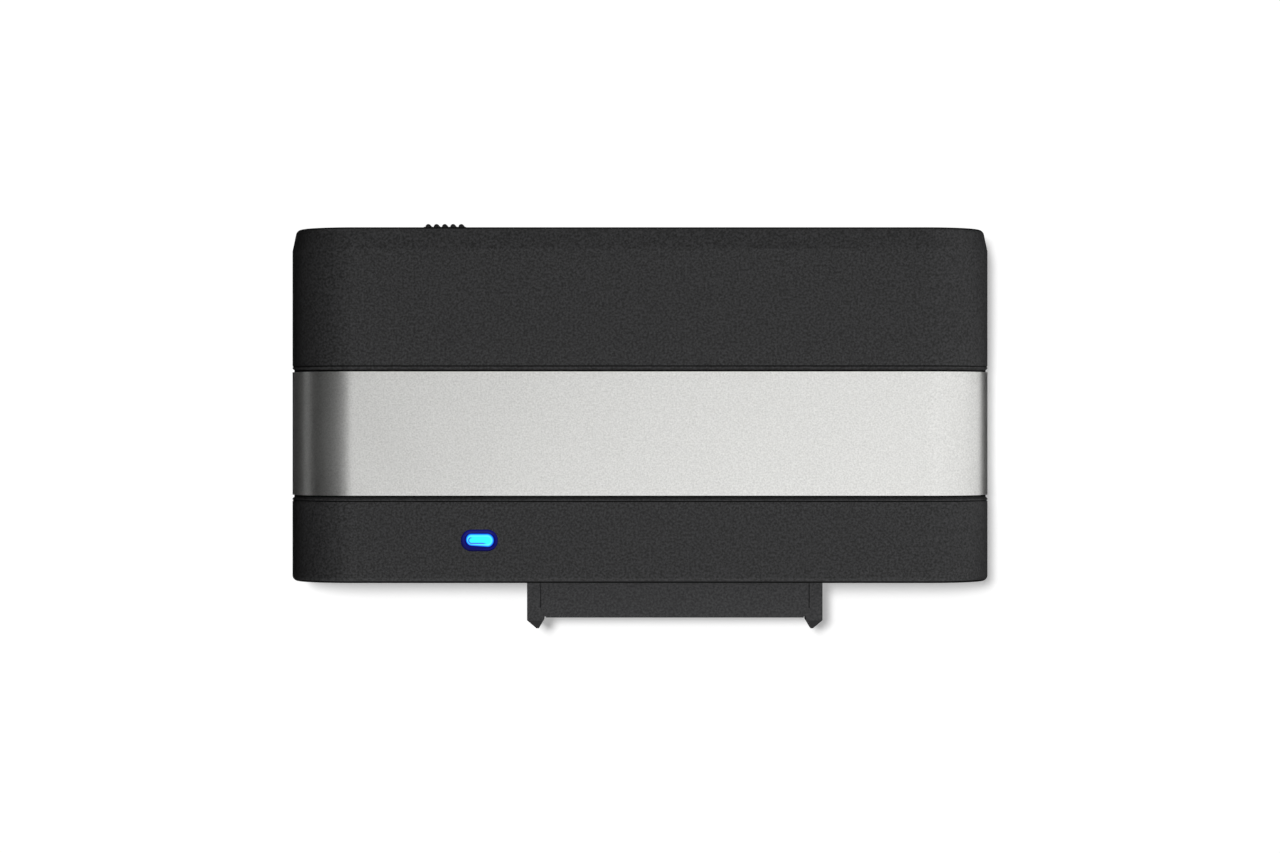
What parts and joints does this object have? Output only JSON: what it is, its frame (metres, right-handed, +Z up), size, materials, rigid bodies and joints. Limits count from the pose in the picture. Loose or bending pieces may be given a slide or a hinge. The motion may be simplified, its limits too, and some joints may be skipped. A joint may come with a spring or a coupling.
{
  "type": "usb to sata adapter",
  "caption": "Flat rounded box with a drive socket at the front and a data port, power jack and slide switch at the back; bare metal band over a black case, small blue lamp.",
  "frame": {"origin": "on the surface that the feet stand on, under the middle of the whole part's bounding box", "axes": "+X to the right with the drive socket towards the viewer, +Y from the drive socket to the rear ports, +Z up"},
  "size_m": [0.1008, 0.0588, 0.023],
  "materials": {
    "case_plastic": "fine spark texture",
    "band_aluminium": "bead blasted and clear anodised, bright bevels",
    "foot_rubber": "matt",
    "screw_steel": "zinc plated",
    "board_laminate": "solder mask",
    "socket_plastic": "satin moulding",
    "contact_gold": "gold flashed",
    "shell_steel": "nickel plated",
    "port_blue": "satin moulding",
    "jack_plastic": "satin moulding",
    "terminal_tin": "tin plated",
    "base_laminate": "paper laminate",
    "lens_blue": "clear moulding, lit from below",
    "lamp_white": "clear resin",
    "chip_epoxy": "moulded epoxy",
    "coil_ferrite": "ferrite",
    "can_aluminium": "drawn can",
    "bead_ceramic": "fired ceramic",
    "resistor_black": "glazed top",
    "slider_plastic": "moulded",
    "knob_plastic": "moulded, ribbed"
  },
  "bodies": {
    "case": {"top_cover": "case_plastic", "bottom_cover": "case_plastic", "trim_band": "band_aluminium", "rubber_feet": "foot_rubber", "case_screws": "screw_steel", "board_screws": "screw_steel", "circuit_board": "board_laminate", "sata_housing": "socket_plastic", "sata_signal_contacts": "contact_gold", "sata_power_contacts": "contact_gold", "usb_shell": "shell_steel", "usb_insulator": "port_blue", "usb_contacts": "contact_gold", "dc_jack_body": "jack_plastic", "dc_jack_pin": "terminal_tin", "dc_jack_spring": "terminal_tin", "switch_frame": "shell_steel", "switch_base": "base_laminate", "switch_terminals": "terminal_tin", "status_lens": "lens_blue", "status_lamp": "lamp_white", "bridge_chip": "chip_epoxy", "memory_chip": "chip_epoxy", "voltage_converter": "chip_epoxy", "clock_crystal": "shell_steel", "power_inductor": "coil_ferrite", "filter_capacitors": "can_aluminium", "rectifier_diode": "chip_epoxy", "ceramic_capacitors": "bead_ceramic", "chip_resistors": "resistor_black"},
    "slider": {"switch_slider": "slider_plastic", "switch_wiper": "contact_gold", "switch_knob": "knob_plastic"}
  },
  "joints": [
    {"name": "power_switch", "type": "slide", "parent": "case", "child": "slider", "axis": [1, 0, 0], "range_m": [0, 0.0025]}
  ]
}
